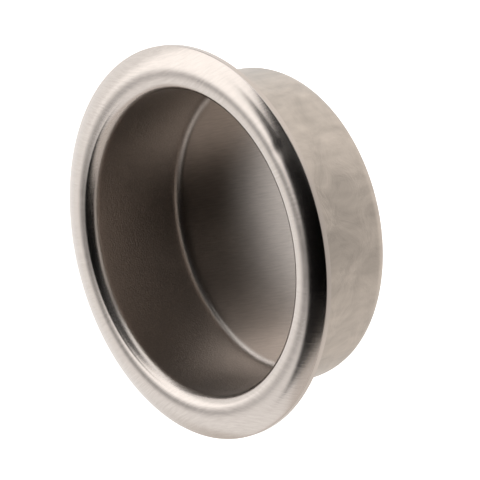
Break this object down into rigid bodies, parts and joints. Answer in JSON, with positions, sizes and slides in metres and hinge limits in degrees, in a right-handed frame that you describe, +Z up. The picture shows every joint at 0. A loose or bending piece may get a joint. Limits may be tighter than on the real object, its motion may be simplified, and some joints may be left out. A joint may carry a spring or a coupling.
{
  "type": "recessed pull handle",
  "caption": "Round recessed finger pull: a drawn steel cup with a domed flange, let into a bored hole in a sliding door or drawer.",
  "frame": {"origin": "on the cup's axis in the plane of the door face, the centre of the bored hole", "axes": "-Y out of the door into the room (the flange faces -Y), +Y along the cup into the door, +Z up, +X to the right seen from the room"},
  "size_m": [0.054, 0.0168, 0.054],
  "materials": {
    "satin_nickel": "satin nickel plate over straight-brushed sheet steel"
  },
  "bodies": {
    "root": {"pull_cup": "satin_nickel"}
  },
  "joints": []
}
